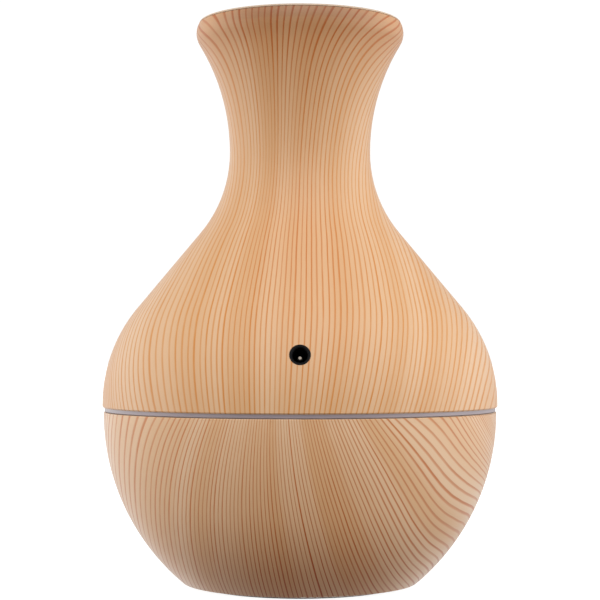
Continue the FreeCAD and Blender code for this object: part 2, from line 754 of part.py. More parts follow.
def power_button():
    travel = 0.6
    flange_top = -2.75
    flange_low = flange_top - 1.1
    stem_low, stem_radius = -6.5, 1.6
    edge = 0.45
    face = 0.35
    radius = d.button_radius
    flange = radius + 1.25
    body = new_body("power_button", BUTTON)
    profile = [(0, stem_low), (stem_radius, stem_low), (stem_radius, flange_low), (flange, flange_low),
               (flange, flange_top), (radius, flange_top), (radius, face - edge),
               (radius - edge, face), (0, face)]
    turned(body, "cap", profile, {6: edge})
    case, case_top = 6.0, stem_low - 1.1
    plunger, plunger_low, play = 1.65, case_top - 0.8, 0.15
    body = new_body("tact_switch", BUTTON)
    extruded(body, "case", -d.port_depth, case_top, polygons, [panel(case, case)])
    well = [(0, 0, plunger + play)]
    extruded(body, "plunger_hole", plunger_low - travel - 0.2, case_top + SAFE_CUT, circles, well, cut=True)
    body = new_body("switch_plunger", BUTTON)
    turned(body, "plunger", ring_profile(0, plunger, plunger_low, stem_low))


# ---------------------------------------------------------------- head: mist disc
def atomiser():
    deck_top = d.deck_level + d.deck_thickness
    cap_low = deck_top + 3.0
    tower = d.tower_bore + d.tower_wall
    rim_in = d.neck_radius - d.wall - 0.1
    wall_out = d.neck_radius - d.wall - d.throat_gap - d.throat_wall - 0.1
    wick_hole = d.wick_radius + 0.9

    body = new_body("atomiser_seat")
    skirt = tower + d.fit_gap
    seat_wall, skirt_depth, rim_height = 1.5, 4.7, 4.0
    skirt_low, rim_top = d.deck_level - skirt_depth, deck_top + rim_height
    profile = [(wick_hole, d.deck_level), (skirt, d.deck_level), (skirt, skirt_low),
               (skirt + seat_wall, skirt_low), (skirt + seat_wall, d.deck_level),
               (rim_in + seat_wall, d.deck_level), (rim_in + seat_wall, rim_top), (rim_in, rim_top),
               (rim_in, deck_top),
               (wall_out, deck_top), (wall_out, cap_low), (d.gasket_radius + 0.1, cap_low),
               (d.gasket_radius + 0.1, deck_top), (wick_hole, deck_top)]
    turned(body, "seat", profile)
    pilots = discs(d.cap_screw_circle, CAP_ANGLES, d.screw_radius)
    extruded(body, "pilots", deck_top - d.deck_thickness / 2, cap_low + SAFE_CUT, circles, pilots, cut=True)

    body = new_body("funnel_seal")
    turned(body, "ring", ring_profile(wall_out + 0.1, rim_in - 0.1, deck_top, deck_top + 1.0))

    body = new_body("disc_gasket")
    slot_low, slot_high = d.disc_level, d.disc_level + 0.8
    window = 6.0
    slot = d.disc_radius + d.fit_gap
    profile = [(wick_hole, deck_top), (d.gasket_radius, deck_top), (d.gasket_radius, cap_low),
               (window, cap_low), (window, slot_high), (slot, slot_high), (slot, slot_low),
               (wick_hole, slot_low)]
    turned(body, "gasket", profile)

    mesh = 0.1
    body = new_body("mesh_disc")
    turned(body, "disc", ring_profile(0, d.disc_radius, d.disc_level, d.disc_level + mesh))
    body = new_body("piezo_ring")
    piezo_bore = 4.0
    turned(body, "ring", ring_profile(piezo_bore, d.disc_radius, d.disc_level + mesh, slot_high))

    cap_top = cap_low + 1.6
    bevel, cap_bore, cap_mouth = 0.4, window + 0.2, 7.6
    cap_edge = wall_out - d.fit_gap
    body = new_body("atomiser_cap")
    profile = [(cap_bore, cap_low), (cap_edge, cap_low), (cap_edge, cap_top - bevel),
               (cap_edge - bevel, cap_top), (cap_mouth, cap_top), (cap_bore, cap_low + bevel)]
    turned(body, "cap", profile)
    holes = discs(d.cap_screw_circle, CAP_ANGLES, d.screw_radius)
    extruded(body, "screw_holes", cap_low - SAFE_CUT, cap_top + SAFE_CUT, circles, holes, cut=True)
    frame = Frame(z=cap_top, yaw=CAP_ANGLES[0])
    screw_set("cap_screws", frame, d.cap_screw_circle, 3, head=1.4, head_height=0.9, length=5.2)


# ---------------------------------------------------------------- wick
def wick_parts():
    bore = d.tube_radius - d.tube_wall
    inside = d.tube_foot + d.tube_wall
    bevel = 0.6
    body = new_body("wick_tube")
    profile = [(0, d.tube_foot), (d.tube_radius - bevel, d.tube_foot), (d.tube_radius, d.tube_foot + bevel),
               (d.tube_radius, d.tube_top), (bore, d.tube_top), (bore, inside), (0, inside)]
    turned(body, "tube", profile)
    lug_height, lug_reach = 2.0, 1.4
    profile = ring_profile(d.tube_radius - OVERLAP, d.tube_radius + lug_reach,
                           tube_lug_low, tube_lug_low + lug_height)
    lug = helical(body, "lug", profile, d.tube_lead, TUBE_LUG_SPAN, -TUBE_LUG_SPAN / 2)
    repeated(body, [lug], 2, "lugs")
    half_slot, slot_low, slot_high = 1.2, inside + 2.0, inside + 22.0
    slot = [(-half_slot, slot_low), (half_slot, slot_low), (half_slot, slot_high), (-half_slot, slot_high)]
    for name, role in (("front_slots", "XZ_Plane"), ("side_slots", "YZ_Plane")):
        sketch = body.newObject("Sketcher::SketchObject", f"{name}_profile")
        sketch.AttachmentSupport = [(origin_of(body, role), "")]
        sketch.MapMode = "FlatFace"
        outline(sketch, slot)
        pocket = body.newObject("PartDesign::Pocket", name)
        pocket.Profile = sketch
        pocket.Midplane = True
        pocket.Length = 4 * d.tube_radius.value
        bind(pocket, "Length", 4 * d.tube_radius)

    body = new_body("tube_gasket")
    play = 0.05
    turned(body, "ring", ring_profile(bore, d.tube_radius, d.tube_top + play, d.deck_level - play))

    body = new_body("wick")
    top = d.disc_level - 0.1
    bevel, crown = 0.5, 1.2
    profile = [(0, d.wick_foot), (d.wick_radius - bevel, d.wick_foot), (d.wick_radius, d.wick_foot + bevel),
               (d.wick_radius, top - crown), (d.wick_radius - crown, top), (0, top)]
    turned(body, "stick", profile, {3: crown})

    body = new_body("wick_spring")
    wire = d.spring_wire
    coil_radius = d.wick_radius - 0.45
    sketch = radial_sketch(body, "wire_profile")
    circles(sketch, [(coil_radius, inside + wire, wire)])
    coil = body.newObject("PartDesign::AdditiveHelix", "coil")
    coil.Profile = sketch
    coil.ReferenceAxis = (origin_of(body, "Z_Axis"), [""])
    coil.Mode = "height-turns-angle"
    coil.Height = (d.wick_foot - inside - 2 * wire).value
    coil.Turns = 5.5
    bind(coil, "Height", d.wick_foot - inside - 2 * wire)


# ---------------------------------------------------------------- leads inside the head
def lead(label, points):
    """A lead of one round section: straight runs joined by arcs tangent to both runs."""
    points = [Vector(*point) for point in points]
    runs = [(b - a).Length for a, b in zip(points, points[1:])]
    edges = []
    start = points[0]
    for index in range(1, len(points) - 1):
        corner = points[index]
        back = (points[index - 1] - corner).normalize()
        ahead = (points[index + 1] - corner).normalize()
        turn = math.pi - back.getAngle(ahead)
        cut = 0.45 * min(runs[index - 1], runs[index])
        radius = cut / math.tan(turn / 2)
        inward = (back + ahead).normalize()
        centre = corner + inward * math.hypot(cut, radius)
        first, last = corner + back * cut, corner + ahead * cut
        edges.append(Part.LineSegment(start, first).toShape())
        edges.append(Part.Arc(first, centre - inward * radius, last).toShape())
        start = last
    edges.append(Part.LineSegment(start, points[-1]).toShape())
    path = Part.Wire(edges)
    section = Part.Wire(Part.Circle(points[0], points[1] - points[0], d.lead_radius.value).toShape())
    feature = doc.addObject("Part::Feature", label)
    feature.Label = label
    feature.Shape = path.makePipeShell([section], True, False)
    nodes.append(feature)


def leads():
    inward, drop = cosine(d.port_tilt).value, sine(d.port_tilt).value
    board = d.port_depth.value + d.board_thickness.value
    board_top = d.board_level.value + d.board_thickness.value
    plug_level, plug_face = board_top + SOCKET_HEIGHT / 2, SOCKET_CIRCLE + SOCKET_DEPTH / 2
    up_board = 1.5
    back = port_y.value - board * inward - up_board * drop
    level = port_z.value - board * drop + up_board * inward
    run = (level - plug_level) / drop
    for label, side in (("jack_lead", -1), ("button_lead", 1)):
        lead(label, [(0, side * back, level), (0, side * (back - run * inward), plug_level),
                     (0, side * plug_face, plug_level)])

    def spoke(angle, places):
        c, s = math.cos(math.radians(angle)), math.sin(math.radians(angle))
        return [(radius * c, radius * s, level) for radius, level in places]

    deck = d.deck_level.value
    down = [(13.9, deck), (13.9, deck - 7.2), (25.2, deck - 14.7), (25.2, board_top + SOCKET_HEIGHT)]
    lead("mist_lead", spoke(LEAD_ANGLES[2], down))
    led_top = d.base_level.value + d.base_thickness.value + LED_BOARD
    across = [(40.0, led_top), (40.0, led_top + 3.7), (36.5, plug_level), (plug_face, plug_level)]
    lead("light_lead", spoke(LEAD_ANGLES[0], across))


# ---------------------------------------------------------------- build, test and export
tank_shell()
tank_liner()
base_pad()
liner_screws()
tank_seal()
upper_shell()
mouth_ring()
mist_funnel()
light_ring()
head_base()
chassis_screws()
main_board()
board_screws()
board_parts()
led_ring()
for port, frame in (("jack", SOCKET), ("button", BUTTON)):
    port_board(f"{port}_board", frame)
    port_screws(f"{port}_screws", frame)
power_socket()
power_button()
atomiser()
wick_parts()
leads()
doc.recompute()

for item in doc.Objects:
    if "Invalid" in item.State or "Error" in item.State:
        raise RuntimeError(f"{item.Name} ({item.Label}) failed: {item.State}")

os.makedirs("parts", exist_ok=True)
for node in nodes:
    if node.Shape.isNull() or not node.Shape.isValid():
        raise RuntimeError(f"{node.Label} has no valid shape")
    node.Shape.exportStep(os.path.join("parts", f"{node.Label}.step"))
    print(f"{node.Label}: {len(node.Shape.Solids)} solid(s), {node.Shape.Volume:.1f} mm3")
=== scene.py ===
import math

import bmesh
import bpy
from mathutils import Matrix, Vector


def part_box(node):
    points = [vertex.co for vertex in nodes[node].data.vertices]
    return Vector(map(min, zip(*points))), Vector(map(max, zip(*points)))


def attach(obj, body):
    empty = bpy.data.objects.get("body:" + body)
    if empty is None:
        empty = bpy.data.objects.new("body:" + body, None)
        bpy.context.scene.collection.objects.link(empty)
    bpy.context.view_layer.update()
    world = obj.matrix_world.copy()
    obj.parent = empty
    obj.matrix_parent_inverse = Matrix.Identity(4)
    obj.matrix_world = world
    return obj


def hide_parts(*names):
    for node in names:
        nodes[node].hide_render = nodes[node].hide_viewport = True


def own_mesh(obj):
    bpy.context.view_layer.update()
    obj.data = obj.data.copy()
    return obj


# Looks of the vase-shaped cool mist humidifier. Metres, +Z up, the socket on the -Y side.
# Inside the materials, lengths are in millimetres.
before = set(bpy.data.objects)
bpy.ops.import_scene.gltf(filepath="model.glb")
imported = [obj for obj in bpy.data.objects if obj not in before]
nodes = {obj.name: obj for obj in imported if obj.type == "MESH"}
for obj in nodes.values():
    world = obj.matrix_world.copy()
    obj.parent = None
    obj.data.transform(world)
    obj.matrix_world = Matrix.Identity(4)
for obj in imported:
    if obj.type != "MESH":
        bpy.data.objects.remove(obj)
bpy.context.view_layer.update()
MM = 1000.0
UP = (0.0, 0.0, 1.0)


# ---------------------------------------------------------------- node trees
class Value:
    """A number in a node tree. Arithmetic on it adds Math nodes."""

    def __init__(self, tree, socket):
        self.tree = tree
        self.socket = socket

    def math(self, operation, *others):
        node = self.tree.add("ShaderNodeMath", operation=operation)
        for slot, item in zip(node.inputs, (self, *others)):
            self.tree.feed(slot, item)
        return Value(self.tree, node.outputs[0])

    def __add__(self, other):
        return self.math("ADD", other)

    def __sub__(self, other):
        return self.math("SUBTRACT", other)

    def __mul__(self, other):
        return self.math("MULTIPLY", other)

    def __truediv__(self, other):
        return self.math("DIVIDE", other)

    def __neg__(self):
        return self * -1.0

    __radd__ = __add__
    __rmul__ = __mul__

    def __rsub__(self, other):
        return -self + other

    def __abs__(self):
        return self.math("ABSOLUTE")

    def step(self, low, high, start=0.0, end=1.0):
        """A smooth step from start to end as the value goes from low to high."""
        node = self.tree.add("ShaderNodeMapRange", interpolation_type="SMOOTHSTEP")
        for slot, item in zip(node.inputs, (self, low, high, start, end)):
            self.tree.feed(slot, item)
        return Value(self.tree, node.outputs[0])

    def curve(self, points):
        """Looks the value up on a smooth curve through (value, result) points."""
        xs, ys = [p[0] for p in points], [p[1] for p in points]
        low, high, top = min(xs), max(xs), max(ys)
        node = self.tree.add("ShaderNodeFloatCurve")
        self.tree.feed(node.inputs["Value"], (self - low) / (high - low))
        curve = node.mapping.curves[0]
        for _ in range(len(points) - 2):
            curve.points.new(0.5, 0.5)
        for point, (x, y) in zip(curve.points, sorted(points)):
            point.location = ((x - low) / (high - low), y / top)
        node.mapping.update()
        return Value(self.tree, node.outputs[0]) * top


class Tree:
    """One material: a Principled shader and the nodes that feed it."""

    def __init__(self, name, **settings):
        self.material = bpy.data.materials.new(name)
        self.material.use_nodes = True
        self.nodes = self.material.node_tree.nodes
        self.links = self.material.node_tree.links
        self.nodes.clear()
        self.shader = self.add("ShaderNodeBsdfPrincipled")
        output = self.add("ShaderNodeOutputMaterial")
        self.links.new(self.shader.outputs[0], output.inputs["Surface"])
        for socket, number in settings.items():
            self.shader.inputs[socket.replace("_", " ")].default_value = number

    def add(self, kind, **settings):
        node = self.nodes.new(kind)
        for name, setting in settings.items():
            setattr(node, name, setting)
        return node

    def feed(self, slot, item):
        if isinstance(item, Value):
            item = item.socket
        if isinstance(item, bpy.types.NodeSocket):
            self.links.new(item, slot)
        elif isinstance(item, tuple) and len(item) == 3 and slot.type == "RGBA":
            slot.default_value = (*item, 1.0)
        else:
            slot.default_value = item

    def place(self):
        """The point's coordinates in the object's own frame, in millimetres."""
        split = self.add("ShaderNodeSeparateXYZ")
        self.feed(split.inputs[0], self.add("ShaderNodeTexCoord").outputs["Object"])
        return [Value(self, socket) * MM for socket in split.outputs]

    def vector(self, x=0.0, y=0.0, z=0.0):
        node = self.add("ShaderNodeCombineXYZ")
        for slot, item in zip(node.inputs, (x, y, z)):
            self.feed(slot, item)
        return node.outputs[0]

    def noise(self, where, detail=2.0, roughness=0.5):
        """Noise from 0 to 1 with features one unit across; where is a vector or one number."""
        node = self.add("ShaderNodeTexNoise", noise_dimensions="1D" if isinstance(where, Value) else "3D")
        self.feed(node.inputs["W" if isinstance(where, Value) else "Vector"], where)
        node.inputs["Scale"].default_value = 1.0
        node.inputs["Detail"].default_value = detail
        node.inputs["Roughness"].default_value = roughness
        return Value(self, node.outputs[0])

    def chance(self, number, seed):
        """An even random number from 0 to 1 for each whole number."""
        node = self.add("ShaderNodeTexWhiteNoise", noise_dimensions="1D")
        self.feed(node.inputs["W"], number + seed)
        return Value(self, node.outputs["Value"])

    def normal(self):
        return self.add("ShaderNodeNewGeometry").outputs["Normal"]

    def dot(self, first, second):
        node = self.add("ShaderNodeVectorMath", operation="DOT_PRODUCT")
        for slot, item in zip(node.inputs, (first, second)):
            self.feed(slot, item)
        return Value(self, node.outputs["Value"])

    def edge(self, millimetres):
        """1 on sharp edges, 0 on open faces."""
        bevel = self.add("ShaderNodeBevel", samples=4)
        bevel.inputs["Radius"].default_value = millimetres / MM
        return self.dot(bevel.outputs[0], self.normal()).step(0.80, 0.995, 1.0, 0.0)

    def cells(self, where, loose=1.0):
        """Distance to the nearest of scattered points, one unit apart."""
        node = self.add("ShaderNodeTexVoronoi", feature="F1")
        self.feed(node.inputs["Vector"], where)
        node.inputs["Scale"].default_value = 1.0
        node.inputs["Randomness"].default_value = loose
        return Value(self, node.outputs["Distance"])

    def mix(self, share, first, second, blend="MIX"):
        node = self.add("ShaderNodeMix", data_type="RGBA", blend_type=blend)
        for slot, item in zip((node.inputs[0], node.inputs[6], node.inputs[7]), (share, first, second)):
            self.feed(slot, item)
        return node.outputs[2]

    def set(self, **inputs):
        for socket, item in inputs.items():
            self.feed(self.shader.inputs[socket.replace("_", " ")], item)

    def bump(self, height, millimetres):
        node = self.add("ShaderNodeBump")
        node.inputs["Strength"].default_value = 1.0
        node.inputs["Distance"].default_value = millimetres / MM
        self.feed(node.inputs["Height"], height)
        self.feed(self.shader.inputs["Normal"], node.outputs[0])


# ---------------------------------------------------------------- printed wood grain
# Levels of the bowl's rim, the belt, the crease round the lip and the top.
BOWL_RIM, BELT, CREASE, HEIGHT = 44.0, 45.1, 143.08, 143.6
# The film's pale wood, its tan streaks, the painted shade laid on near lip and foot, and the plastic under
# it.
CREAM = (0.780, 0.535, 0.335)
TAN = (0.710, 0.425, 0.215)
PAINTED_SHADE = (0.54, 0.50, 0.52)
BARE_PLASTIC = (0.80, 0.66, 0.50)
# How far a line's colour is multiplied down where the film is brownest.
DEEPER = (0.80, 0.52, 0.30)
# Growth rings crossed, as a polynomial. Each row is one power of the height, from 0 at the piece's
# foot to 1 at its top, and each column one power of the sideways position, from -1 to 1.
HEAD_RINGS = (
    (0.00, 44.50, -7.22, -18.07, 29.65, 2.55, -26.28),
    (-8.32, -51.32, 8.01, 67.08, -7.57, -41.76, 17.76),
    (25.88, 21.01, -85.29, -87.71, -27.79, 18.91, 30.06),
    (-60.14, -74.56, 151.93, 41.34, -13.27, 56.09, 9.33),
    (86.55, 156.99, -38.58, -20.81, -20.11, -14.21, -14.71),
    (-76.98, -41.28, -44.02, -32.75, 8.83, -33.15, -12.18),
    (26.59, -41.87, 12.19, 46.43, 32.17, 1.88, -3.42),
)
BOWL_RINGS = (
    (0.00, 25.76, -7.50, -4.04, 3.68, -6.60),
    (9.58, 50.40, 12.92, -8.54, -17.95, -1.24),
    (-1.64, -22.22, -23.44, -1.73, 5.72, -35.73),
    (1.19, 28.00, -11.31, -82.15, 38.58, 103.36),
)


def growth(side, front, height, rings, turn):
    """Which ring a point lies in. The last term carries the figure round the sides of the piece."""
    total = 0.0
    for row in reversed(rings):
        across = row[-1]
        for number in reversed(row[:-1]):
            across = side.math("MULTIPLY_ADD", across, number)
        total = height.math("MULTIPLY_ADD", total, across)
    return total + side * (1.0 - front) * turn


def browning_and_shade(z, side, front, spread, middle, around):
    """How brown the film is painted at each height, along the middle of the front and all round: partly
    print tone, partly painted shade towards the lip and the foot.
    """
    centre = (side * side * -spread).math("EXPONENT") * front.step(-0.2, 0.4)
    around = z.curve(around)
    return around + (z.curve(middle) - around) * centre


def wood(name, coat, low, high, film_end, rings, turn, seed, latewood, tint,
         spread, middle, around, painted_shade_levels):
    """Satin plastic with a printed grain: thin orange latewood lines on cream, and fine fibres.

    coat is the gloss coat's weight. low and high are the levels the rings are laid between, and
    film_end is where the film thins out. latewood is a line's colour, and tint multiplies the
    whole film where it is browner, partly print tone and partly painted shade. middle and around are
    (level, share) curves: how brown it is in front, narrower with more spread, and how brown all round.
    The last curve is also (level, share): how much painted shade is laid on near lip and foot.
    """
    tree = Tree(name, Specular_IOR_Level=0.40, Coat_Weight=coat, Coat_Roughness=0.20,
                Sheen_Weight=0.12, Sheen_Roughness=0.25, Sheen_Tint=(0.90, 0.88, 1.0, 1.0))
    x, y, z = tree.place()
    radius = (x * x + y * y).math("SQRT")
    side, front = x / radius, -y / radius
    strands = growth(side, front, (z - low) / (high - low), rings, turn)
    # Slow and quick wandering, so that no line runs true.
    slow = tree.noise(tree.vector(x * 0.030 + seed, y * 0.030, z * 0.020), 1.0) - 0.5
    quick = tree.noise(tree.vector(x * 0.11 + seed, y * 0.11, z * 0.05), 2.0) - 0.5
    strands = strands + slow * 0.6 + quick * 0.20
    strands = strands + (tree.noise(strands * 0.6 + seed, 1.0) - 0.5) * 0.2
    # One line per ring: it rises slowly, ends sharply, and differs in strength and breadth.
    ring = strands.math("FLOOR")
    part = strands - ring
    strength, breadth = tree.chance(ring, seed), tree.chance(ring, seed + 50.0)
    width = 0.34 + breadth * 0.16
    rise = part.step(1.0 - width, 1.0 - width * 0.50)
    fall = part.step(0.90, 1.0, 1.0, 0.0)
    patchy = tree.noise(tree.vector(strands * 1.3, z * 0.16, seed), 2.0)
    line = rise * fall * (0.70 + strength * 0.30) * patchy.step(0.20, 0.55, 0.70, 1.0)
    columns = tree.noise(strands * 0.11 + seed * 3.0, 1.0).step(0.30, 0.70)
    fibre = tree.noise(tree.vector(strands * 7.0, z * 0.10, seed), 3.0, 0.6)
    # Partly print tone, partly painted shade: the film is made browner towards the lip and the foot, most
    # along the front, and the tint multiply below also darkens it there.
    browner = browning_and_shade(z, side, front, spread, middle, around)
    colour = tree.mix(columns * 0.75 + fibre * 0.35, CREAM, TAN)
    deep = tuple(part * share for part, share in zip(latewood, DEEPER))
    colour = tree.mix(line, colour, tree.mix(browner, latewood, deep))
    colour = tree.mix(browner, colour, tint, "MULTIPLY")
    # Painted shade: near the lip and the foot the colour is multiplied down, most in front and behind,
    # least at the sides.
    shaded = z.curve(painted_shade_levels) * abs(front).step(0.45, 1.0, 0.20, 1.0)
    colour = tree.mix(shaded, colour, PAINTED_SHADE, "MULTIPLY")
    # The film is on the outside only: not on faces turned inwards, nor on the flat under the foot.
    outward = tree.dot(tree.normal(), tree.vector(x / radius, y / radius, 0.0)).step(-0.4, -0.2)
    outward = outward * tree.dot(tree.normal(), UP).step(-0.98, -0.90)
    printed = z.step(low + 0.01, low + 0.03) * outward * z.step(film_end, film_end + 0.04, 1.0, 0.40)
    tree.set(Base_Color=tree.mix(printed, BARE_PLASTIC, colour))
    tree.set(Roughness=0.38 + fibre * 0.10 + line * 0.05)
    tree.bump(fibre * 0.5 - line * 0.6, 0.035)
    return tree


# ---------------------------------------------------------------- camera, light and floor
def camera():
    """A little above the belt, straight in front of the socket, tipped up a little."""
    distance, level, tip = 0.430, 0.06025, 1.62
    data = bpy.data.cameras.new("camera")
    data.sensor_width = 36.0
    data.lens = 100.7
    eye = bpy.data.objects.new("camera", data)
    eye.location = (0.0, -distance, level)
    eye.rotation_euler = (math.radians(90.0 + tip), 0.0, 0.0)
    bpy.context.scene.collection.objects.link(eye)
    bpy.context.scene.camera = eye


def chain(tree, operation, *items):
    """A Math node in the world's tree, fed with numbers and sockets."""
    node = tree.nodes.new("ShaderNodeMath")
    node.operation = operation
    for slot, item in zip(node.inputs, items):
        if isinstance(item, float):
            slot.default_value = item
        else:
            tree.links.new(item, slot)
    return node.outputs[0]


def studio():
    """Soft light from a ring of wide, blurred panels: azimuth from the front, elevation, strength."""
    panels = ((0, 45, 1.39), (60, 45, 1.02), (300, 45, 0.60),
              (90, 0, 1.64), (135, 0, 0.48), (180, 0, 0.21), (225, 0, 0.98), (270, 0, 1.29),
              (180, -35, 0.62), (300, -25, 0.23), (60, -25, 0.16))
    tightness = 5.0
    world = bpy.data.worlds.new("studio")
    bpy.context.scene.world = world
    world.use_nodes = True
    tree = world.node_tree
    gaze = tree.nodes.new("ShaderNodeTexCoord").outputs["Generated"]
    total = None
    for azimuth, elevation, strength in panels:
        turn, lift = math.radians(azimuth), math.radians(elevation)
        facing = tree.nodes.new("ShaderNodeVectorMath")
        facing.operation = "DOT_PRODUCT"
        tree.links.new(gaze, facing.inputs[0])
        facing.inputs[1].default_value = (
            math.sin(turn) * math.cos(lift), -math.cos(turn) * math.cos(lift), math.sin(lift))
        falloff = chain(tree, "MULTIPLY_ADD", facing.outputs["Value"], tightness, -tightness)
        panel = chain(tree, "MULTIPLY", chain(tree, "EXPONENT", falloff), strength)
        total = panel if total is None else chain(tree, "ADD", total, panel)
    tree.links.new(total, tree.nodes["Background"].inputs["Strength"])
    tree.nodes["Background"].inputs["Color"].default_value = (1.0, 1.0, 1.0, 1.0)


def stage_piece(name, points, faces, tree):
    """A piece of the studio. It is seen, and takes shadows, but throws no light on the object."""
    mesh = bpy.data.meshes.new(name)
    mesh.from_pydata(points, [], faces)
    mesh.materials.append(tree.material)
    piece = bpy.data.objects.new(name, mesh)
    bpy.context.scene.collection.objects.link(piece)
    piece.visible_diffuse = False
    piece.visible_glossy = False
    piece.visible_transmission = False
    piece.visible_shadow = False


def floor_and_backdrop():
    """A plain pale floor, just clear of the foot pad, and a round pale wall."""
    reach, wall, sides, level = 6.0, 5.5, 48, -0.00005
    tree = Tree("floor_paper", Roughness=0.9, Emission_Color=(1.0, 1.0, 1.0, 1.0), Emission_Strength=0.90)
    x, y, z = tree.place()
    grain = tree.noise(tree.vector(x * 0.8, y * 0.8, z), 3.0)
    tree.set(Base_Color=tree.mix(grain, (0.30, 0.30, 0.30), (0.34, 0.34, 0.34)))
    tree.bump(grain, 0.02)
    corners = ((-1, -1), (1, -1), (1, 1), (-1, 1))
    square = [(side * reach, ahead * reach, level) for side, ahead in corners]
    stage_piece("floor", square, [(0, 1, 2, 3)], tree)
    tree = Tree("backdrop_paper", Base_Color=(0.0, 0.0, 0.0, 1.0), Emission_Strength=1.0)
    x, y, z = tree.place()
    haze = tree.noise(tree.vector(x * 0.01, y * 0.01, z * 0.01))
    tree.set(Emission_Color=tree.mix(haze, (1.0, 1.0, 1.0), (1.02, 1.02, 1.02)))
    turns = [2 * math.pi * k / sides for k in range(sides)]
    rows = [(wall * math.cos(a), wall * math.sin(a), height) for height in (-1.0, wall) for a in turns]
    faces = [(k, (k + 1) % sides, sides + (k + 1) % sides, sides + k) for k in range(sides)]
    stage_piece("backdrop", rows, faces + [tuple(range(sides, 2 * sides))], tree)


# ---------------------------------------------------------------- materials of the other nodes
def dress(tree, *names):
    """Gives CAD nodes a material, on the object and not on its mesh."""
    for name in names:
        piece = nodes[name]
        if not piece.material_slots:
            piece.data.materials.append(None)
        for place in piece.material_slots:
            place.link = "OBJECT"
            place.material = tree.material


def satin(tree, roughness, texture):
    """The roughness of moulded plastic; returns the clouding, fine texture and rubbed edges in it."""
    x, y, z = tree.place()
    cloud = tree.noise(tree.vector(x * 0.09, y * 0.09, z * 0.09), 4.0, 0.6)
    fine = tree.noise(tree.vector(x * texture, y * texture, z * texture), 3.0)
    scuff = tree.noise(tree.vector(x * 0.5, y * 0.5, z * 3.0), 2.0).step(0.60, 0.75)
    edge = tree.edge(0.3)
    tree.set(Roughness=fine * 0.14 + cloud * 0.08 + scuff * 0.06 - edge * 0.06 + (roughness - 0.11))
    return cloud, fine, edge


def moulded(name, colour, shade, roughness=0.40, texture=2.5, depth=0.012, worn=0.25, **settings):
    """Moulded plastic or rubber: a fine texture, faint clouding, and edges rubbed paler."""
    tree = Tree(name, **settings)
    cloud, fine, edge = satin(tree, roughness, texture)
    body = tree.mix(cloud.step(0.30, 0.70) * 0.7 + fine * 0.3, colour, shade)
    rubbed = tuple(part + (1.0 - part) * 0.35 for part in colour)
    tree.set(Base_Color=tree.mix(edge * worn, body, rubbed))
    if depth:
        tree.bump(fine + cloud * 2.0, depth)
    return tree


def metal(name, bright, dull, roughness, fineness, depth=0.004):
    """Bare metal with drawn or turned marks; fineness is the marks' pitch along x, y and z."""
    tree = Tree(name, Metallic=1.0)
    x, y, z = tree.place()
    marks = tree.noise(tree.vector(x * fineness[0], y * fineness[1], z * fineness[2]), 2.0)
    tarnish = tree.noise(tree.vector(x * 0.5, y * 0.5, z * 0.5), 4.0, 0.65)
    edge = tree.edge(0.15)
    tree.set(Base_Color=tree.mix(tarnish.step(0.35, 0.70) * 0.8 - edge * 0.3, bright, dull))
    tree.set(Roughness=marks * 0.16 + tarnish * 0.14 - edge * 0.05 + (roughness - 0.15))
    tree.bump(marks, depth)
    return tree


def light_band():
    """Frosted lavender-grey ring: satin, with faint draw marks round it."""
    tree = Tree("frosted_band", Specular_IOR_Level=0.65, Coat_Weight=0.15, Coat_Roughness=0.25)
    x, y, z = tree.place()
    haze = tree.noise(tree.vector(x * 0.10, y * 0.10, z * 0.8), 3.0)
    lines = tree.noise(tree.vector(x * 0.03, y * 0.03, z * 9.0), 2.0)
    edge = tree.edge(0.12)
    body = tree.mix(haze.step(0.30, 0.70) * 0.6 + lines * 0.4, (0.360, 0.295, 0.315), (0.300, 0.245, 0.265))
    tree.set(Base_Color=tree.mix(edge * 0.35, body, (0.50, 0.44, 0.46)))
    tree.set(Roughness=0.26 + haze * 0.10 + lines * 0.06)
    tree.bump(lines + haze, 0.006)
    return tree


def foot_pad():
    """Closed-cell black foam with fine pores."""
    tree = moulded("foot_pad", (0.020, 0.020, 0.021), (0.034, 0.033, 0.032), 0.88, 1.2, 0.0, 0.10)
    x, y, z = tree.place()
    pores = tree.cells(tree.vector(x * 2.4, y * 2.4, z * 2.4)).step(0.12, 0.42)
    tree.bump(pores + tree.noise(tree.vector(x * 4.0, y * 4.0, z * 4.0)) * 0.4, 0.09)
    return tree


def mist_disc():
    """Bright stainless disc whose middle is a field of tiny holes."""
    tree = Tree("mist_disc", Metallic=1.0)
    x, y, z = tree.place()
    radius = (x * x + y * y).math("SQRT")
    field = radius.step(2.3, 2.5, 1.0, 0.0)
    hole = tree.cells(tree.vector(x * 3.6, y * 3.6, 0.0), loose=0.10).step(0.20, 0.30, 1.0, 0.0) * field
    rolled = tree.noise(tree.vector(x * 0.6, y * 9.0, z), 2.0)
    colour = tree.mix(rolled * 0.5, (0.74, 0.74, 0.75), (0.60, 0.60, 0.60))
    tree.set(Base_Color=tree.mix(hole, colour, (0.03, 0.03, 0.03)))
    tree.set(Roughness=0.22 + rolled * 0.14 + hole * 0.5)
    tree.bump(rolled * 0.1 - hole + (radius * 5.0).math("SINE") * 0.05 * field, 0.03)
    return tree


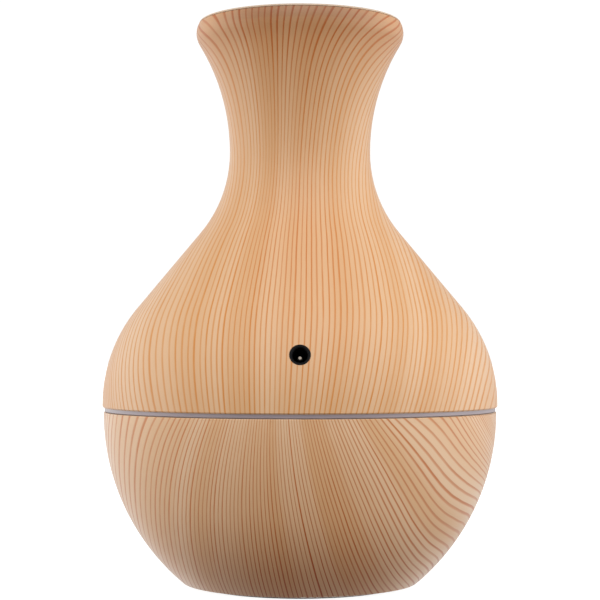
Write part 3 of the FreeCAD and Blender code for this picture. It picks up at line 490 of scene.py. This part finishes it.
def solder_mask():
    """Green board: copper tracks showing through the mask, tinned pads, and a pale fibre edge."""
    tree = Tree("solder_mask", Specular_IOR_Level=0.5, Coat_Weight=0.4, Coat_Roughness=0.18)
    x, y, z = tree.place()
    lane = (y * 0.9).math("FLOOR")
    shift = tree.chance(lane, 4.0)
    along = x * 0.35 + shift * 3.0
    gap = tree.chance(along.math("FLOOR") + lane * 17.0, 9.0).step(0.30, 0.31)
    track = abs(y * 0.9 - lane - 0.5).step(0.20, 0.24, 1.0, 0.0) * gap
    pad = tree.cells(tree.vector(x * 0.42, y * 0.42, 0.0), loose=0.55).step(0.13, 0.16, 1.0, 0.0)
    weave = tree.noise(tree.vector(x * 1.6, y * 1.6, z * 1.6), 3.0)
    flat = abs(tree.dot(tree.normal(), UP)).step(0.5, 0.6)
    mask = tree.mix(track, (0.018, 0.120, 0.050), (0.040, 0.220, 0.085))
    mask = tree.mix(weave * 0.35, mask, (0.012, 0.075, 0.035))
    mask = tree.mix(pad, mask, (0.62, 0.61, 0.58))
    tree.set(Base_Color=tree.mix(flat, (0.45, 0.42, 0.22), mask))
    tree.set(Metallic=pad * flat, Roughness=0.34 + weave * 0.12 + (1.0 - flat) * 0.35)
    tree.bump(track * 0.6 + pad + weave * 0.15, 0.03)
    return tree


def silvered_ceramic():
    """Silver electrodes on the faces, tan ceramic on the rims."""
    tree = Tree("silvered_ceramic")
    x, y, z = tree.place()
    face = abs(tree.dot(tree.normal(), UP)).step(0.6, 0.8)
    grain = tree.noise(tree.vector(x * 3.0, y * 3.0, z * 3.0), 4.0, 0.6)
    silver = tree.mix(grain.step(0.3, 0.7), (0.72, 0.70, 0.66), (0.56, 0.53, 0.48))
    ceramic = tree.mix(grain, (0.50, 0.42, 0.28), (0.38, 0.31, 0.20))
    tree.set(Base_Color=tree.mix(face, ceramic, silver), Metallic=face * 0.8, Roughness=0.50 + grain * 0.2)
    tree.bump(grain, 0.02)
    return tree


def capacitor_can():
    """Dark sleeve with a bare aluminium top."""
    tree = Tree("capacitor_can", Specular_IOR_Level=0.5)
    x, y, z = tree.place()
    top = tree.dot(tree.normal(), UP).step(0.7, 0.9)
    print_wear = tree.noise(tree.vector(x * 1.5, y * 1.5, z * 0.8), 4.0)
    sleeve = tree.mix(print_wear, (0.020, 0.026, 0.050), (0.035, 0.040, 0.070))
    can = tree.mix(print_wear, (0.74, 0.75, 0.77), (0.60, 0.61, 0.63))
    tree.set(Base_Color=tree.mix(top, sleeve, can), Metallic=top, Roughness=0.30 + print_wear * 0.15)
    tree.bump(print_wear, 0.015)
    return tree


def led_package():
    """Clear dome of yellow phosphor in a white frame."""
    tree = Tree("led_package", Specular_IOR_Level=0.5, Coat_Weight=0.5, Coat_Roughness=0.10)
    x, y, z = tree.place()
    frame_edge = tree.edge(0.7)
    speck = tree.noise(tree.vector(x * 9.0, y * 9.0, z * 9.0), 2.0)
    phosphor = tree.mix(speck, (0.82, 0.66, 0.14), (0.70, 0.52, 0.09))
    frame_white = tree.mix(speck, (0.80, 0.79, 0.76), (0.68, 0.67, 0.64))
    tree.set(Base_Color=tree.mix(frame_edge, phosphor, frame_white), Roughness=0.20 + speck * 0.15)
    tree.bump(speck, 0.01)
    return tree


def cotton():
    """Pressed cotton: tangled fibres running mostly up and down."""
    tree = Tree("cotton", Specular_IOR_Level=0.2, Sheen_Weight=0.35, Sheen_Roughness=0.5)
    x, y, z = tree.place()
    sway = tree.noise(tree.vector(x * 0.5, y * 0.5, z * 0.25), 2.0)
    fibre = tree.noise(tree.vector(x * 4.0 + sway * 5.0, y * 4.0 - sway * 5.0, z * 0.5), 4.0, 0.65)
    tuft = tree.cells(tree.vector(x * 1.3, y * 1.3, z * 0.7))
    damp = z.step(20.0, 52.0, 0.55, 0.0)
    dry = tree.mix(fibre.step(0.35, 0.70), (0.83, 0.80, 0.72), (0.62, 0.57, 0.48))
    tree.set(Base_Color=tree.mix(damp, dry, (0.50, 0.44, 0.34)))
    tree.set(Roughness=0.92 - fibre * 0.12 - damp * 0.15)
    tree.bump(fibre + tuft * 0.5, 0.14)
    return tree


def button_face():
    """Satin button cap with one plain ring pressed into its face, which is square to the shoulder."""
    tilt, centre_y, centre_z, ring_radius = math.radians(19.3), 48.06, 58.59, 2.6
    tree = Tree("button_face", Coat_Weight=0.2)
    fine = satin(tree, 0.30, 3.0)[1]
    x, y, z = tree.place()
    rise = (y - centre_y) * math.sin(tilt) - (z - centre_z) * math.cos(tilt)
    away = (x * x + rise.math("POWER", 2.0)).math("SQRT")
    mark = abs(away - ring_radius).step(0.20, 0.30, 1.0, 0.0)
    ink = tree.mix(fine * 0.4, (0.12, 0.11, 0.11), (0.20, 0.19, 0.18))
    face = tree.mix(fine * 0.5, (0.70, 0.66, 0.60), (0.60, 0.56, 0.50))
    tree.set(Base_Color=tree.mix(mark, face, ink))
    tree.bump(fine * 0.1 - mark, 0.05)
    return tree


# ---------------------------------------------------------------- casings, with even shading
def even_casing(node, body, tree):
    """A casing whose normals agree where two tangent arcs of its outline meet: no ring shows there."""
    same_place, same_way = 1e7, math.cos(math.radians(8.0))
    mesh = nodes[node].data.copy()
    mesh.name = node + "_casing"
    normals = [corner.vector.copy() for corner in mesh.corner_normals]
    meeting = {}
    for index, loop in enumerate(mesh.loops):
        point = mesh.vertices[loop.vertex_index].co
        meeting.setdefault(tuple(round(number * same_place) for number in point), []).append(index)
    evened = list(normals)
    for corners in meeting.values():
        for index in corners:
            same = [normals[other] for other in corners if normals[other].dot(normals[index]) > same_way]
            evened[index] = sum(same, Vector()).normalized()
    mesh.normals_split_custom_set(evened)
    piece = bpy.data.objects.new(node + "_casing", mesh)
    bpy.context.scene.collection.objects.link(piece)
    mesh.materials.clear()
    mesh.materials.append(tree.material)
    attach(piece, body)
    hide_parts(node)


# ---------------------------------------------------------------- the spring under the wick
def coil_spring(name, low, high, wire, turns, sides=12, steps=48):
    """A compression spring of round wire between two corners, its first and last turns lying closed."""
    clearance, closed = 0.00002, 2.15 * wire
    radius = (high.x - low.x) / 2 - wire
    bottom, top = low.z + wire, high.z - wire - clearance
    free = (top - bottom - 2 * closed) / (turns - 2.0)
    count = int(turns * steps)

    def centre(index):
        turn = index * turns / count
        rise = turn * closed if turn < 1.0 else closed + (min(turn, turns - 1.0) - 1.0) * free
        rise += max(0.0, turn - turns + 1.0) * closed
        angle = 2 * math.pi * turn
        return Vector((radius * math.cos(angle), radius * math.sin(angle), bottom + rise))

    points, faces = [], []
    for index in range(count + 1):
        here = centre(index)
        along = (centre(min(index + 1, count)) - centre(max(index - 1, 0))).normalized()
        out = Vector((here.x, here.y, 0.0)).normalized()
        up = along.cross(out).normalized()
        out = up.cross(along)
        for side in range(sides):
            angle = 2 * math.pi * side / sides
            points.append(here + (out * math.cos(angle) + up * math.sin(angle)) * wire)
    for index in range(count):
        ring, after = index * sides, (index + 1) * sides
        for side in range(sides):
            beside = (side + 1) % sides
            faces.append((ring + side, ring + beside, after + beside, after + side))
    faces.append(tuple(range(sides)))
    faces.append(tuple(count * sides + side for side in reversed(range(sides))))
    mesh = bpy.data.meshes.new(name)
    mesh.from_pydata(points, [], faces)
    work = bmesh.new()
    work.from_mesh(mesh)
    bmesh.ops.recalc_face_normals(work, faces=work.faces)
    work.to_mesh(mesh)
    work.free()
    for polygon in mesh.polygons:
        polygon.use_smooth = len(polygon.vertices) == 4
    piece = bpy.data.objects.new(name, mesh)
    bpy.context.scene.collection.objects.link(piece)
    return piece


# ---------------------------------------------------------------- the scene
camera()
studio()
floor_and_backdrop()
bpy.context.scene.view_settings.view_transform = "Standard"

head_wood = wood(
    "head_wood", 0.12, BELT - 0.1, HEIGHT, CREASE, HEAD_RINGS, 16.0, 3.0,
    latewood=(0.670, 0.275, 0.045), tint=(0.97, 0.79, 0.62), spread=5.0,
    middle=((44.0, 0.25), (60.0, 0.42), (72.0, 0.50), (84.0, 0.62), (96.0, 0.58), (108.0, 0.48),
            (118.0, 0.55), (130.0, 0.75), (136.0, 0.95), (HEIGHT, 1.0)),
    around=((44.0, 0.28), (60.0, 0.16), (72.0, 0.14), (96.0, 0.18), (120.0, 0.22), (132.0, 0.45),
            (138.0, 0.75), (HEIGHT, 0.85)),
    painted_shade_levels=((44.0, 0.0), (132.0, 0.0), (137.0, 0.18), (140.0, 0.62), (142.0, 0.97), (HEIGHT, 1.0)))
dress(head_wood, "mouth_ring")
even_casing("upper_shell", "head", head_wood)

bowl_wood = wood(
    "bowl_wood", 0.30, 0.0, BOWL_RIM, BOWL_RIM - 0.06, BOWL_RINGS, 12.0, 11.0,
    latewood=(0.550, 0.165, 0.028), tint=(0.96, 0.80, 0.66), spread=3.0,
    middle=((0.0, 1.0), (5.0, 0.98), (10.0, 0.85), (16.0, 0.62), (25.0, 0.38), (37.0, 0.18),
            (45.0, 0.05)),
    around=((0.0, 0.42), (8.0, 0.22), (20.0, 0.08), (45.0, 0.01)),
    painted_shade_levels=((0.0, 0.80), (5.0, 0.74), (10.0, 0.55), (16.0, 0.25), (24.0, 0.0), (45.0, 0.0)))
even_casing("tank_shell", "tank", bowl_wood)

dress(light_band(), "light_ring")
dress(foot_pad(), "base_pad")
dress(moulded("white_plastic", (0.760, 0.745, 0.700), (0.700, 0.680, 0.630), 0.42,
              Specular_IOR_Level=0.45),
      "tank_liner", "mist_funnel", "head_base", "atomiser_seat", "atomiser_cap", "wick_tube")
dress(moulded("grey_silicone", (0.42, 0.43, 0.44), (0.35, 0.36, 0.37), 0.62, 4.0, 0.010, 0.10,
              Sheen_Weight=0.15),
      "tank_seal", "disc_gasket", "funnel_seal", "tube_gasket")
dress(metal("screw_steel", (0.66, 0.66, 0.67), (0.46, 0.45, 0.44), 0.34, (5.0, 5.0, 18.0)),
      "liner_screws", "chassis_screws", "board_screws", "jack_screws", "button_screws", "cap_screws")

# The mist disc and the boards.
dress(mist_disc(), "mesh_disc")
dress(silvered_ceramic(), "piezo_ring")
dress(solder_mask(), "main_board", "led_board", "jack_board", "button_board")
dress(moulded("black_component", (0.022, 0.022, 0.024), (0.034, 0.034, 0.036), 0.58, 6.0, 0.02, 0.08),
      "controller_chip", "tact_switch", "switch_plunger")
dress(moulded("ferrite", (0.055, 0.055, 0.060), (0.090, 0.088, 0.090), 0.66, 5.0, 0.05, 0.12),
      "boost_inductor")
dress(capacitor_can(), "filter_capacitors")
dress(moulded("white_nylon", (0.74, 0.72, 0.64), (0.66, 0.63, 0.54), 0.38, 3.0, 0.01, 0.2),
      "lead_sockets")
dress(led_package(), "ring_leds")

# The socket, the button and the wick.
dress(moulded("black_socket", (0.0030, 0.0030, 0.0036), (0.0060, 0.0060, 0.0070), 0.40, 4.0, 0.01, 0.01,
              Specular_IOR_Level=0.08),
      "power_jack")
dress(metal("contact_nickel", (0.42, 0.36, 0.30), (0.28, 0.23, 0.18), 0.42, (9.0, 2.0, 9.0)), "jack_pin")
dress(button_face(), "power_button")
dress(cotton(), "wick")

# The spring stands on the tube's floor, under the wick that pushes it down; here it is one fixed coil that
# moves with the tube.
SPRING_WIRE_RADIUS = 0.00035
spring_low, spring_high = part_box("wick_spring")
spring = coil_spring("spring_coil", spring_low, spring_high, SPRING_WIRE_RADIUS, 6.5)
steel = metal("spring_steel", (0.68, 0.68, 0.69), (0.50, 0.49, 0.48), 0.30, (3.0, 3.0, 14.0))
spring.data.materials.append(steel.material)
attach(spring, "tube")
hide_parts("wick_spring")
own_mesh(spring)

# The leads' jackets: black for power, cream for the button, red for mist and blue for light.
LEAD_COLOURS = {
    "jack_lead": (0.030, 0.028, 0.028),
    "button_lead": (0.55, 0.53, 0.50),
    "mist_lead": (0.42, 0.030, 0.022),
    "light_lead": (0.030, 0.070, 0.28),
}
for lead, colour in LEAD_COLOURS.items():
    shade = tuple(part * 0.75 for part in colour)
    dress(moulded(lead + "_jacket", colour, shade, 0.46, 2.0, 0.02, 0.15), lead)
